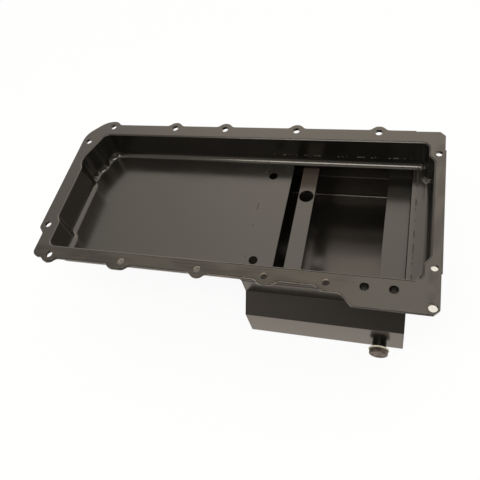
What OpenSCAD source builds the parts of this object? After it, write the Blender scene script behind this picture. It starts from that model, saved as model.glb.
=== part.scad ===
// Welded steel engine oil pan with a shallow front tray and a deep rear sump.
// The sealing face is z = 0 and faces up. +X points to the engine's rear, +Y to the passenger side.
// The origin is midway between the two side bolts that face each other across the pan.

/* [Rail] */
// Front edge of the rail, ahead of the cross bolts
rail_front = 325; // [315:1:350]
// Rear edge of the rail, behind the cross bolts
rail_rear = 195; // [193:1:215]
// Width of the rail across its two straight side edges
rail_w = 237; // [230:1:260]
// Thickness of the rail plate
rail_t = 4.8; // [3:0.1:8]
// How far a bolt lobe stands out past the side edge
lobe_out = 6.5; // [4:0.5:8]
// Slope of a bolt lobe's sides
lobe_slope = 46; // [42:1:55]
// How much longer the two long lobes on the driver side are
lobe_extra = [10, 6]; // [0:1:14]
// Radius of the big front corner on the passenger side
front_corner_r = 30; // [20:1:34]
// How far the front ear steps back from the front edge
ear_step = 8.5; // [5:0.5:9]
// How far the front ear reaches past its bolt
ear_out = 6; // [5:0.5:8]
// Depth of the small steps in the rear and passenger edges
edge_step = 1.2; // [0.5:0.1:2]
// How far the oil port pad stands out past the driver side edge
pad_out = 21; // [17:0.5:28]
// Length of the oil port pad along the rail
pad_len = 92; // [88:1:100]
// Length of the rail's step behind the last bolt on the passenger side
far_step_len = 37.5; // [30:0.5:44]
// Distance of the rear edge's steps past the driver and the passenger side bolt
rear_step_out = [5, 6]; // [4:0.5:9]

/* [Bolts] */
// Clearance hole for the rail bolts
bolt_d = 9; // [8:0.1:10]
// Clearance hole for the two smaller rear bolts
rear_bolt_d = 8; // [6.5:0.1:9]
// Clearance hole at the corner of the pad
corner_bolt_d = 9.8; // [8:0.1:11]
// Distance of the bolt rows in from the side edges
bolt_in = 4.5; // [4:0.1:6]
// Distance of the front bolts in from the front edge
front_bolt_in = 10.5; // [9:0.1:11]
// Distance of the rear bolts in from the rear edge
rear_bolt_in = 8.5; // [8:0.1:9.5]
// First side bolt behind the front edge, passenger side
far_first = 41; // [38:0.5:43]
// Passenger side bolts ahead of the cross bolt
far_ahead = [181.5, 104]; // [90:0.5:200]
// Passenger side bolt behind the cross bolt
far_behind = 110.5; // [100:0.5:118]
// First side bolt behind the front edge, driver side
near_first = 33.5; // [32:0.5:38]
// Driver side bolts ahead of the cross bolt
near_ahead = [185.5, 83]; // [75:0.5:195]
// Driver side bolt behind the cross bolt
near_behind = 72; // [68:0.5:76]
// Distance of the two front bolts from the passenger and the driver side edges
front_bolt_y = [35, 50]; // [34:0.5:54]
// Distance of the two rear bolts from the passenger and the driver side edges
rear_bolt_y = [38, 35]; // [33:0.5:42]
// Distance of the pad's corner bolt in from the pad's edge
corner_bolt_in = 8; // [7.5:0.1:10]

/* [Tray] */
// Sheet thickness of tray and sump
sheet_t = 2; // [1.5:0.1:3]
// Depth of the tray floor below the sealing face
tray_depth = 44; // [36:1:48]
// Inside radius of the tray's rolled bottom edge
tray_bend_r = 8; // [5:0.5:8.5]
// Inside radius of the tray's corners in plan
tray_corner_r = 9; // [8.8:0.1:11]
// Inside radius where the wall steps round a bolt
tray_jog_r = 7; // [6:0.5:8]
// Width of the rail's land at the front
front_land = 20.2; // [19:0.1:23]
// Width of the rail's land on the passenger side
far_land = 21; // [19:0.5:24]
// Width of the rail's land on the driver side
near_land = 18; // [17:0.5:21]
// Width of the rail's land at the rear
rear_land = 20.5; // [20:0.1:24]
// How far the front wall bulges forward near the passenger side
front_bulge = 4.7; // [3:0.1:5.5]
// How far the front wall steps back near the driver side
front_step = 5.8; // [4:0.1:8]
// How far the rear wall bulges back between its bolts
rear_bulge = 7; // [4:0.1:7.5]
// Where the rear bulge starts, in from the driver and the passenger side wall
bulge_start = [21, 21.5]; // [18:0.5:24]
// Where the rear bulge is full, in from the driver and the passenger side wall
bulge_full = [30.5, 29]; // [27:0.5:36]
// Length of the slanted front corner, along and across the pan
slant = [18.5, 45.5]; // [16:0.5:48]
// Where the front bulge ends and the front wall starts, in from the passenger side wall
front_jog_y = [55.5, 65]; // [50:0.5:70]
// Where the front wall steps back and ends, in from the driver side wall
front_step_y = [39, 46]; // [36:0.5:50]
// Diameter of the two drain-back holes in the tray floor
drainback_d = 12; // [8:0.5:12]
// Distance of the drain-back holes from the sump's centre line
drainback_y = 69; // [60:1:80]

/* [Sump] */
// Front face of the sump, ahead of the cross bolts
sump_ahead = 39.5; // [35:0.5:60]
// Length of the sump
sump_len = 200; // [197:1:201]
// Depth of the fold where the kick-outs start
neck_depth = 74; // [70:1:80]
// How far each side kicks out, at 45 degrees
kick_out = 22.5; // [15:0.5:24]
// Depth of the sump below the sealing face
sump_depth = 148; // [135:1:170]
// Outside radius of the sump's folds
fold_r = 4; // [3:0.5:5]
// Thickness of the sump's end plates
plate_t = 2.5; // [2:0.1:4]
// Depth of the corner groove that the seam weld fills
seam_depth = 1.2; // [0.8:0.1:1.6]

/* [Baffles] */
// Front edge of the sump mouth in the tray floor, ahead of the cross bolts
mouth_ahead = 3.5; // [0:0.5:8]
// Depth of the dipstick strip
strip_depth = 55; // [52:1:60]
// Width of the dipstick strip
strip_w = 22.5; // [22:0.5:28]
// Centre of the dipstick strip, behind the cross bolts
strip_behind = 19; // [18:0.5:40]
// Hole for the dipstick
strip_hole_d = 19.5; // [12:0.5:19.5]
// Distance of the dipstick hole from the sump's centre line
strip_hole_y = 45.5; // [30:0.5:70]
// Depth of the rear baffle
baffle_depth = 65; // [60:1:70]
// Width of the rear baffle
baffle_w = 32; // [20:1:50]

/* [Oil ports] */
// Diameter of the two oil ports in the pad
port_d = 10; // [8:0.5:11]
// Front oil port, ahead of the rail's rear edge
port_in = 80.5; // [73:0.5:83]
// Distance between the two oil ports
port_pitch = 31.5; // [28:0.5:34]
// Distance of the oil ports out from the tray wall's outside
port_out = 12.5; // [12:0.5:13]
// Length of the port block under the pad
block_len = 64; // [60:1:66]
// Width of the port block
block_w = 19.5; // [19:0.5:22]
// Height of the port block
block_h = 22; // [20:1:26]
// Diameter of the two side outlets
outlet_d = 12; // [8:0.5:13]

/* [Drain] */
// Drain axis, ahead of the sump's rear face
drain_in = 29; // [22:0.5:50]
// Height of the drain axis above the sump's bottom
drain_up = 12.8; // [12.8:0.1:20]
// Diameter of the drain bung
bung_d = 17.5; // [16:0.5:19]
// Wall of the drain bung's thin end in the panel
spigot_t = 1.5; // [1.2:0.1:2]
// Length of the drain bung outside the panel
bung_len = 8; // [6:0.1:14]
// Shank diameter of the drain plug
plug_d = 11.8; // [10:0.1:12]
// Running gap between plug shank and bung bore
plug_gap = 0.2; // [0.1:0.05:0.4]
// Shank length of the drain plug under its flange
plug_len = 13; // [9:0.5:16]
// Diameter of the round face under the drain plug's hexagon
plug_flange_d = 24.5; // [20:0.5:25]
// Thickness of the round face under the hexagon
plug_flange_t = 0.8; // [0.5:0.1:2]
// Hexagon across flats
hex_af = 21; // [13:0.5:21]
// Hexagon height above the round face
hex_h = 4.4; // [3:0.1:8]
// Outside diameter of the drain washer
washer_d = 25.5; // [22.5:0.5:25.5]
// Thickness of the drain washer
washer_t = 2; // [1:0.1:3]

/* [Welds] */
// Leg of the weld between rail and tray
rail_leg = 3; // [2:0.1:3.4]
// Leg of the weld between the sump's end plates and the tray floor
end_leg = 3; // [2:0.1:4]
// Height of the weld between the sump's walls and the tray's rolled edge
side_leg = 4; // [3:0.1:5]
// Leg of the weld round the port block
block_leg = 2.5; // [1.5:0.1:3.5]
// Leg of the weld round the drain bung
bung_leg = 1.5; // [1:0.1:2.5]

/* [Hidden] */
$fn = 64;

paint = "#2b2825";
weld_paint = "#35312d";
plug_colour = "#8f877d";
washer_colour = "#cfc7b4";

arc_step = 12;    // largest angle between two points of a rounded corner
bend_steps = 6;   // facets round the tray's rolled edge
over = 1;         // how far a cut runs past a face
touch = 0.1;      // gap between curved faces that are welded

// The rail's edges and the tray's inside faces
edge_y = rail_w / 2;
front_x = -rail_front + front_land;
rear_x = rail_rear - rear_land;
far_y = edge_y - far_land;
near_y = -edge_y + near_land;
mid_y = (far_y + near_y) / 2;
tray_half = (far_y - near_y) / 2;
flat_half = tray_half - tray_bend_r;
under_z = -tray_depth - sheet_t;

// The sump's shell
sump_front = -sump_ahead;
sump_rear = sump_front + sump_len;
wrap_front = sump_front + plate_t;
wrap_rear = sump_rear - plate_t;
neck_half = tray_half;
neck_in = neck_half - sheet_t;
side_half = neck_half + kick_out;
bend_z = -tray_depth + tray_bend_r;
bend_out = tray_bend_r + sheet_t;
wall_gap = 0.5;   // how far the tray floor's cuts stay off the end plates
drainback_x = wrap_front + drainback_d / 2 + wall_gap;
wrap_top = bend_z - sqrt(pow(bend_out, 2) - pow(neck_in - flat_half, 2)) - touch;

// The pad, the port block and the drain
bolt_y = edge_y - bolt_in;
pad_y = -edge_y - pad_out;
block_far = near_y - sheet_t - rail_leg - over;
port_y = near_y - sheet_t - port_out;
port_x = [rail_rear - port_in, rail_rear - port_in + port_pitch];
block_x = (port_x[0] + port_x[1]) / 2;
block_top = -rail_t;
outlet_z = block_top - block_h / 2;
drain_x = sump_rear - drain_in;
drain_z = -sump_depth + drain_up;
panel_y = mid_y - side_half;
bung_y = panel_y - bung_len;
bung_spigot_d = plug_d + 2 * plug_gap + 2 * spigot_t;

// Plan outlines as [x, y, corner radius], anticlockwise, and how they are rounded and inset
function flat(v) = [v[0], v[1]];
function unit(v) = v / norm(v);
function left(v) = [-v[1], v[0]];
function way_in(path, i) = unit(flat(path[i]) - flat(path[(i + len(path) - 1) % len(path)]));
function way_out(path, i) = unit(flat(path[(i + 1) % len(path)]) - flat(path[i]));
function turn(path, i) =
    atan2(cross(way_in(path, i), way_out(path, i)), way_in(path, i) * way_out(path, i));
function spin(v, a) = [v[0] * cos(a) - v[1] * sin(a), v[0] * sin(a) + v[1] * cos(a)];
function arc(path, i) =
    let (a = turn(path, i), r = path[i][2], side = a > 0 ? 1 : -1)
    r <= 0 ? [flat(path[i])] :
    let (start = flat(path[i]) - way_in(path, i) * r * tan(abs(a) / 2))
    let (centre = start + side * r * left(way_in(path, i)))
    let (steps = max(2, ceil(abs(a) / arc_step)))
    [for (k = [0:steps]) centre + spin(start - centre, a * k / steps)];
function rounded(path) = [for (i = [0:len(path) - 1]) each arc(path, i)];
function inset(path, d) = [for (i = [0:len(path) - 1])
    let (m = left(way_in(path, i)), n = left(way_out(path, i)), r = path[i][2])
    let (p = flat(path[i]) + d * (m + n) / (1 + m * n))
    [p[0], p[1], r <= 0 ? 0 : turn(path, i) > 0 ? r - d : r + d]];

// The tray's inside contour, which steps round the bolts
bulge_x = front_x - front_bulge;
step_x = front_x + front_step;
rear_bulge_x = rear_x + rear_bulge;
tray_contour = [
    [step_x, near_y, tray_corner_r],
    [rear_x, near_y, tray_corner_r],
    [rear_x, near_y + bulge_start[0], tray_jog_r],
    [rear_bulge_x, near_y + bulge_full[0], tray_corner_r],
    [rear_bulge_x, far_y - bulge_full[1], tray_corner_r],
    [rear_x, far_y - bulge_start[1], tray_jog_r],
    [rear_x, far_y, tray_corner_r],
    [bulge_x + slant[0], far_y, tray_corner_r],
    [bulge_x, far_y - slant[1], tray_corner_r],
    [bulge_x, far_y - front_jog_y[0], tray_corner_r],
    [front_x, far_y - front_jog_y[1], tray_jog_r],
    [front_x, near_y + front_step_y[1], tray_corner_r],
    [step_x, near_y + front_step_y[0], tray_jog_r]];

// One bolt lobe, round about its bolt; side is 1 on the passenger edge and -1 on the driver edge
tip_r = bolt_in + lobe_out;
foot_r = 8;
lobe_half = tip_r * tan(lobe_slope / 2);
lobe_foot = lobe_half + lobe_out / tan(lobe_slope);
function lobe(x, side, ahead = 0, behind = 0) =
    let (low = side * edge_y, high = side * (edge_y + lobe_out))
    let (p = [[x - ahead - lobe_foot, low, foot_r], [x - ahead - lobe_half, high, tip_r],
        [x + behind + lobe_half, high, tip_r], [x + behind + lobe_foot, low, foot_r]])
    side < 0 ? p : [p[3], p[2], p[1], p[0]];

far_bolts = [-rail_front + far_first, -far_ahead[0], -far_ahead[1], 0, far_behind];
near_bolts = [-rail_front + near_first, -near_ahead[0], -near_ahead[1], 0, near_behind];
front_bolt_x = -rail_front + front_bolt_in;
rear_bolt_x = rail_rear - rear_bolt_in;
pad_chamfer = 6.5;
pad_lobe_y = -edge_y - lobe_out;
pad_x = rail_rear - pad_len;
pad_slope_x = pad_x - (pad_lobe_y - pad_y);
corner_cut = 28;
ear_r = 9;
ear_y = -edge_y + front_bolt_y[1] - ear_out;
ear_corner_r = 5;
corner_r = 1;
step_x_rear = rail_rear - edge_step;
near_step_y = -edge_y + rear_bolt_y[1] - rear_step_out[0];
far_step_y = edge_y - rear_bolt_y[0] + rear_step_out[1];
far_edge_y = edge_y - edge_step;
rail_outline = concat(
    [[-rail_front + ear_step, -edge_y, ear_r]],
    lobe(near_bolts[0], -1),
    lobe(near_bolts[1], -1, ahead = lobe_extra[0]),
    lobe(near_bolts[2], -1),
    lobe(near_bolts[3], -1, behind = lobe_extra[1]),
    [[near_bolts[4] - lobe_foot, -edge_y, foot_r],
    [near_bolts[4] - lobe_half, pad_lobe_y, tip_r],
    [pad_slope_x, pad_lobe_y, foot_r],
    [pad_x, pad_y, 2 * corner_r],
    [step_x_rear - pad_chamfer, pad_y, corner_r],
    [step_x_rear, pad_y + pad_chamfer, corner_r],
    [step_x_rear, near_step_y, 0],
    [rail_rear, near_step_y, 0],
    [rail_rear, far_step_y, 0],
    [step_x_rear, far_step_y, 0],
    [step_x_rear, far_edge_y - pad_chamfer, corner_r],
    [step_x_rear - pad_chamfer, far_edge_y, corner_r],
    [rail_rear - far_step_len, far_edge_y, 0],
    [rail_rear - far_step_len, edge_y, 0]],
    lobe(far_bolts[4], 1),
    lobe(far_bolts[3], 1),
    lobe(far_bolts[2], 1),
    lobe(far_bolts[1], 1),
    [[far_bolts[0] + lobe_foot, edge_y, foot_r],
    [far_bolts[0] + lobe_half, edge_y + lobe_out, tip_r],
    [-rail_front + corner_cut, edge_y + lobe_out, front_corner_r],
    [-rail_front, edge_y + lobe_out - corner_cut, front_corner_r],
    [-rail_front, ear_y, ear_corner_r],
    [-rail_front + ear_step, ear_y - ear_step, ear_corner_r]]);

module bolt_holes() {
    for (x = far_bolts) translate([x, bolt_y]) circle(d = bolt_d);
    for (x = near_bolts) translate([x, -bolt_y]) circle(d = bolt_d);
    translate([front_bolt_x, edge_y - front_bolt_y[0]]) circle(d = bolt_d);
    translate([front_bolt_x, -edge_y + front_bolt_y[1]]) circle(d = bolt_d);
    translate([rear_bolt_x, edge_y - rear_bolt_y[0]]) circle(d = rear_bolt_d);
    translate([rear_bolt_x, -edge_y + rear_bolt_y[1]]) circle(d = rear_bolt_d);
    translate([rear_bolt_x, pad_y + corner_bolt_in]) circle(d = corner_bolt_d);
    for (x = port_x) translate([x, port_y]) circle(d = port_d);
}

// The plate that bolts to the engine block
module pan_rail() {
    color(paint) translate([0, 0, -rail_t]) linear_extrude(rail_t) difference() {
        polygon(rounded(rail_outline));
        polygon(rounded(inset(tray_contour, -sheet_t)));
        bolt_holes();
    }
}

// A section of [inset, z] points carried round the tray's contour: a loop, or an open line with two caps
module sweep_round(section, loop) {
    rings = [for (s = section) [for (p = rounded(inset(tray_contour, s[0]))) [p[0], p[1], s[1]]]];
    n = len(rings[0]);
    m = len(rings);
    last = loop ? m - 1 : m - 2;
    sides = [for (j = [0:last], i = [0:n - 1])
        [j * n + i, j * n + (i + 1) % n, ((j + 1) % m) * n + (i + 1) % n, ((j + 1) % m) * n + i]];
    caps = loop ? [] : [[for (i = [n - 1:-1:0]) i], [for (i = [0:n - 1]) (m - 1) * n + i]];
    polyhedron([for (r = rings) each r], [for (f = concat(sides, caps)) [for (k = [len(f) - 1:-1:0]) f[k]]]);
}

// The shallow tray, folded from one sheet, with its rolled bottom edge
module tray() {
    bend = [for (k = [0:bend_steps]) 90 * (1 - k / bend_steps)];
    outside = [for (a = bend) [tray_bend_r - bend_out * cos(a), bend_z - bend_out * sin(a)]];
    inside = [for (k = [bend_steps:-1:0])
        [tray_bend_r * (1 - cos(bend[k])), bend_z - tray_bend_r * sin(bend[k])]];
    color(paint) difference() {
        sweep_round(concat(outside, [[-sheet_t, 0], [0, 0]], inside), false);
        translate([-mouth_ahead, mid_y - flat_half, under_z - over])
            cube([mouth_ahead + wrap_rear - wall_gap, 2 * flat_half, sheet_t + 2 * over]);
        for (side = [-1, 1]) translate([drainback_x, mid_y + side * drainback_y, under_z - over])
            cylinder(d = drainback_d, h = sheet_t + 2 * over);
    }
}

// The sump's cross section, looking along +X: half widths about the centre line, and heights
function sump_section(top) = [
    [mid_y + neck_half, top, 0],
    [mid_y - neck_half, top, 0],
    [mid_y - neck_half, -neck_depth, fold_r],
    [mid_y - side_half, -neck_depth - kick_out, fold_r],
    [mid_y - side_half, -sump_depth, fold_r],
    [mid_y + side_half, -sump_depth, fold_r],
    [mid_y + side_half, -neck_depth - kick_out, fold_r],
    [mid_y + neck_half, -neck_depth, fold_r]];

module along_x(x, len) {
    translate([x, 0, 0]) rotate([90, 0, 90]) linear_extrude(len) children();
}

module drain_axis(y) {
    translate([drain_x, y, drain_z]) rotate([90, 0, 0]) children();
}

// Walls, kick-outs, side panels and floor, folded from one sheet
module sump_wrap() {
    color(paint) difference() {
        along_x(wrap_front, wrap_rear - wrap_front) difference() {
            polygon(rounded(sump_section(wrap_top)));
            polygon(rounded(inset(sump_section(wrap_top + sheet_t + over), sheet_t)));
        }
        drain_axis(panel_y + sheet_t + over) cylinder(d = bung_spigot_d + touch, h = sheet_t + 2 * over);
    }
}

module end_plate(x) {
    color(paint) along_x(x, plate_t) polygon(rounded(inset(sump_section(under_z + seam_depth), seam_depth)));
}

module sump_front_plate() {
    end_plate(sump_front);
}

module sump_rear_plate() {
    end_plate(wrap_rear);
}

// The bead that fills the corner groove along an end plate
module seam_weld(x) {
    color(weld_paint) along_x(x, plate_t) difference() {
        polygon(rounded(sump_section(wrap_top)));
        polygon(rounded(inset(sump_section(wrap_top + seam_depth + over), seam_depth)));
    }
}

module front_seam_weld() {
    seam_weld(sump_front);
}

module rear_seam_weld() {
    seam_weld(wrap_rear);
}

// Cross strip in the sump mouth, with the dipstick hole
module dipstick_strip() {
    color(paint) difference() {
        translate([strip_behind - strip_w / 2, mid_y - neck_in, -strip_depth - sheet_t])
            cube([strip_w, 2 * neck_in, sheet_t]);
        translate([strip_behind, mid_y + strip_hole_y, -strip_depth - sheet_t - over])
            cylinder(d = strip_hole_d, h = sheet_t + 2 * over);
    }
}

// Shelf against the rear plate that holds oil down under braking
module rear_baffle() {
    color(paint) translate([wrap_rear - baffle_w, mid_y - neck_in, -baffle_depth - sheet_t])
        cube([baffle_w, 2 * neck_in, sheet_t]);
}

// Block under the pad; each port drops in from the rail and turns to a side outlet
module port_block() {
    color(paint) difference() {
        translate([block_x - block_len / 2, block_far - block_w, block_top - block_h])
            cube([block_len, block_w, block_h]);
        for (x = port_x) {
            translate([x, port_y, outlet_z]) cylinder(d = port_d, h = block_h);
            translate([x, port_y, outlet_z]) rotate([90, 0, 0]) cylinder(d = outlet_d, h = block_w);
        }
    }
}

// Threaded sleeve welded to the side panel, its spigot through the panel
module drain_bung() {
    color(paint) difference() {
        union() {
            drain_axis(panel_y) cylinder(d = bung_d, h = bung_len);
            drain_axis(panel_y + sheet_t) cylinder(d = bung_spigot_d, h = sheet_t + over);
        }
        drain_axis(panel_y + sheet_t + over)
            cylinder(d = plug_d + 2 * plug_gap, h = bung_len + sheet_t + 2 * over);
    }
}

module drain_washer() {
    color(washer_colour) drain_axis(bung_y) difference() {
        cylinder(d = washer_d, h = washer_t);
        translate([0, 0, -over]) cylinder(d = plug_d + 4 * plug_gap, h = washer_t + 2 * over);
    }
}

module drain_plug() {
    color(plug_colour) drain_axis(bung_y - washer_t) {
        translate([0, 0, -plug_len]) cylinder(d = plug_d, h = plug_len);
        cylinder(d = plug_flange_d, h = plug_flange_t);
        translate([0, 0, plug_flange_t]) cylinder(d = hex_af / cos(30), h = hex_h, $fn = 6);
    }
}

// Bead under the rail, round the outside of the tray
module rail_weld() {
    color(weld_paint) sweep_round([[-sheet_t, -rail_t], [-sheet_t, -rail_t - rail_leg],
        [-sheet_t - rail_leg, -rail_t]], true);
}

// Beads that fill the groove between the sump's walls and the tray's rolled edge
module sump_side_welds() {
    foot = neck_half - sheet_t / 2;
    color(weld_paint) for (side = [-1, 1]) along_x(sump_front, sump_len) difference() {
        translate([mid_y, 0]) polygon([[side * foot, wrap_top], [side * neck_half, wrap_top],
            [side * (neck_half + sheet_t), wrap_top + side_leg],
            [side * (neck_half + sheet_t), bend_z - over], [side * foot, bend_z - side_leg]]);
        translate([mid_y + side * flat_half, bend_z]) circle(r = bend_out + touch);
    }
}

// Beads between the end plates and the underside of the tray floor
module sump_end_welds() {
    for (end = [[sump_front, -1], [sump_rear, 1]]) color(weld_paint)
        translate([end[0], mid_y + flat_half - over, 0]) rotate([90, 0, 0])
            linear_extrude(2 * flat_half - 2 * over)
                polygon([[0, under_z], [0, under_z - end_leg], [end[1] * end_leg, under_z]]);
}

// Beads along the block's two ends and its outer side
module port_block_weld() {
    near = block_far - block_w;
    color(weld_paint) {
        along_x(block_x - block_len / 2, block_len)
            polygon([[near, block_top], [near, block_top - block_leg], [near - block_leg, block_top]]);
        for (side = [-1, 1]) translate([block_x + side * block_len / 2, block_far, 0]) rotate([90, 0, 0])
            linear_extrude(block_w)
                polygon([[0, block_top], [0, block_top - block_leg], [side * block_leg, block_top]]);
    }
}

// Ring bead round the foot of the bung
module bung_weld() {
    r = bung_d / 2 + touch / 2;
    color(weld_paint) drain_axis(panel_y) rotate_extrude()
        polygon([[r, 0], [r + bung_leg, 0], [r, bung_leg]]);
}

pan_rail();
tray();
sump_wrap();
sump_front_plate();
sump_rear_plate();
dipstick_strip();
rear_baffle();
port_block();
drain_bung();
drain_plug();
drain_washer();
rail_weld();
front_seam_weld();
rear_seam_weld();
sump_side_welds();
sump_end_welds();
port_block_weld();
bung_weld();
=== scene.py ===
import math

import bmesh
import bpy
from mathutils import Matrix, Vector


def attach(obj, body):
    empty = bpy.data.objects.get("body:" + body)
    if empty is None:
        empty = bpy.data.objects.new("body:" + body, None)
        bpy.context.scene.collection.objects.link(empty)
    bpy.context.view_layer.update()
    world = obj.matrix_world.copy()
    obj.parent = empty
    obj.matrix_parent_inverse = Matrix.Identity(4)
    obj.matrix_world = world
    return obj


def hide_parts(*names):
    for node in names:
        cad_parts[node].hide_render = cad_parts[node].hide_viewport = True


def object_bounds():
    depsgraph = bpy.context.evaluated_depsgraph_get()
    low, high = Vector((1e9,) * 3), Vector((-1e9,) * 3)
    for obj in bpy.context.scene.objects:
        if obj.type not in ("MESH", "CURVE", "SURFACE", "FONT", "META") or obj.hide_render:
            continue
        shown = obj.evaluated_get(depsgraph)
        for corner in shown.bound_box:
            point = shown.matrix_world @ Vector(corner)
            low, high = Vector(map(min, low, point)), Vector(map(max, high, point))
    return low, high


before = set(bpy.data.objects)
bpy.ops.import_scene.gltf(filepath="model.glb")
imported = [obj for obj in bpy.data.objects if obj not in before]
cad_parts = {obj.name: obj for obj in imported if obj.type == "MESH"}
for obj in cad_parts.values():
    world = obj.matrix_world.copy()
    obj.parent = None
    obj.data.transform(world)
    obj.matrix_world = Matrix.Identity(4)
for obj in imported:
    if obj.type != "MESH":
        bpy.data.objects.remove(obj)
cadLow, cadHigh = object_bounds()
mm = 0.001

cameraSet = {
    "place": (153.8, -394.5, 537.0),          # mm, in the part's frame
    "right": (0.95497, 0.21840, -0.20084),
    "up": (-0.07144, 0.82623, 0.55879),
    "lens": 40.37,
    "shift": (-0.0084, -0.0293),
}

studioSet = {
    "softboxWay": (0.06, -0.33, 0.93),        # from the pan to the overhead softbox
    "softboxFar": 1.5,
    "softboxSize": (1.28, 0.42),
    "softboxWatts": 12.2,
    "skyHigh": (1.48, 1.42, 1.32),            # behind the pan, well above it
    "skyLow": (1.88, 1.74, 1.57),             # behind the pan, near the horizon
    "skyFront": (0.55, 0.52, 0.47),
    "skyStops": (-0.85, -0.10, 0.25, 0.52, 0.70),   # front, front, high, high, low, by the Y of the direction
    "frontToBack": (-0.1, 0.25),              # where the two fades below change over
    "backFade": (-0.75, -0.20, 0.5, 1.0),     # the sky behind dims to the left
    "frontFade": (-0.40, 0.05, 1.0, 0.4),     # the sky in front dims to the right
    "floorColour": (0.90, 0.90, 0.89),
    "floorGlow": 0.93,                        # share of the floor that the camera sees as plain pale
    "floorMirror": (1.08, 1.0, 0.91),         # the floor as the paint mirrors it
    "floorFade": (-0.22, -0.16, 0.25, 1.0),   # the mirrored floor darkens in front of the pan, in metres
    # painted shadow of the pan: a warm patch on the floor behind the sump, seen through the rail's rear holes
    "floorShadeSides": [("X", 0.165, 0.175), ("X", 0.2005, 0.2035, 1, 0), ("Y", -0.070, -0.066), ("Y", 0.05, 0.09, 1, 0)],
    "floorShadeColour": (0.84, 0.79, 0.68),
    "floorSize": 6.0,
    "lampTint": (1, 0.97, 0.93),
    "lampAim": (-0.05, 0, -0.05),
}


def makeCamera():
    data = bpy.data.cameras.new("photoCamera")
    data.lens = cameraSet["lens"]
    data.sensor_width = 36
    data.shift_x, data.shift_y = cameraSet["shift"]
    data.clip_start, data.clip_end = 0.01, 50
    cam = bpy.data.objects.new("photoCamera", data)
    bpy.context.scene.collection.objects.link(cam)
    right, up = Vector(cameraSet["right"]).normalized(), Vector(cameraSet["up"])
    back = right.cross(up).normalized()
    up = back.cross(right)
    turn = Matrix((right, up, back)).transposed().to_4x4()
    cam.matrix_world = Matrix.Translation(Vector(cameraSet["place"]) * mm) @ turn
    bpy.context.scene.camera = cam
    bpy.context.scene.view_settings.view_transform = "Standard"


def makeLamp(s):
    data = bpy.data.lights.new("softbox", "AREA")
    data.shape = "RECTANGLE"
    data.size, data.size_y = s["softboxSize"]
    data.energy = s["softboxWatts"]
    data.color = s["lampTint"]
    lamp = bpy.data.objects.new("softbox", data)
    way = Vector(s["softboxWay"]).normalized()
    across = Vector((1, 0, 0))
    across = (across - way * across.dot(way)).normalized()
    turn = Matrix((across, way.cross(across), way)).transposed().to_4x4()
    lamp.matrix_world = Matrix.Translation(Vector(s["lampAim"]) + way * s["softboxFar"]) @ turn
    bpy.context.scene.collection.objects.link(lamp)


def fade(tree, source, low, high, toLow=0.0, toHigh=1.0):
    n = tree.nodes.new("ShaderNodeMapRange")
    n.interpolation_type = "SMOOTHSTEP"
    for key, v in (("From Min", low), ("From Max", high), ("To Min", toLow), ("To Max", toHigh)):
        n.inputs[key].default_value = v
    tree.links.new(source, n.inputs["Value"])
    return n.outputs[0]


def inside(tree, axes, sides):
    # the product of one fade for each side: (axis, low, high, value below, value above), in metres
    share = None
    for which, *limits in sides:
        side = fade(tree, axes.outputs[which], *limits)
        if share is None:
            share = side
            continue
        both = tree.nodes.new("ShaderNodeMath")
        both.operation = "MULTIPLY"
        tree.links.new(share, both.inputs[0])
        tree.links.new(side, both.inputs[1])
        share = both.outputs[0]
    return share


def makeSky(s):
    world = bpy.data.worlds.new("studio")
    bpy.context.scene.world = world
    world.use_nodes = True
    tree = world.node_tree
    tree.nodes.clear()
    make, link = tree.nodes.new, tree.links.new
    way = make("ShaderNodeTexCoord")
    axes = make("ShaderNodeSeparateXYZ")
    link(way.outputs["Generated"], axes.inputs[0])
    ramp = make("ShaderNodeValToRGB")
    tones = (s["skyFront"], s["skyFront"], s["skyHigh"], s["skyHigh"], s["skyLow"])
    stops = list(zip(s["skyStops"], tones))
    for at, colour in stops[1:-1]:
        ramp.color_ramp.elements.new((at + 1) / 2)
    for element, (at, colour) in zip(ramp.color_ramp.elements, stops):
        element.position = (at + 1) / 2
        element.color = (*colour, 1)
    half = make("ShaderNodeMath")
    half.operation = "MULTIPLY_ADD"
    half.inputs[1].default_value = half.inputs[2].default_value = 0.5
    link(axes.outputs["Y"], half.inputs[0])
    link(half.outputs[0], ramp.inputs["Fac"])
    dim = make("ShaderNodeMix")
    link(fade(tree, axes.outputs["Y"], *s["frontToBack"]), dim.inputs["Factor"])
    link(fade(tree, axes.outputs["X"], *s["frontFade"]), dim.inputs["A"])
    link(fade(tree, axes.outputs["X"], *s["backFade"]), dim.inputs["B"])
    around = make("ShaderNodeBackground")
    link(ramp.outputs["Color"], around.inputs["Color"])
    link(dim.outputs["Result"], around.inputs["Strength"])
    white = make("ShaderNodeBackground")
    white.inputs["Color"].default_value = (1, 1, 1, 1)
    path = make("ShaderNodeLightPath")
    pick = make("ShaderNodeMixShader")
    link(path.outputs["Is Camera Ray"], pick.inputs["Fac"])
    link(around.outputs[0], pick.inputs[1])
    link(white.outputs[0], pick.inputs[2])
    out = make("ShaderNodeOutputWorld")
    link(pick.outputs[0], out.inputs["Surface"])


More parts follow.
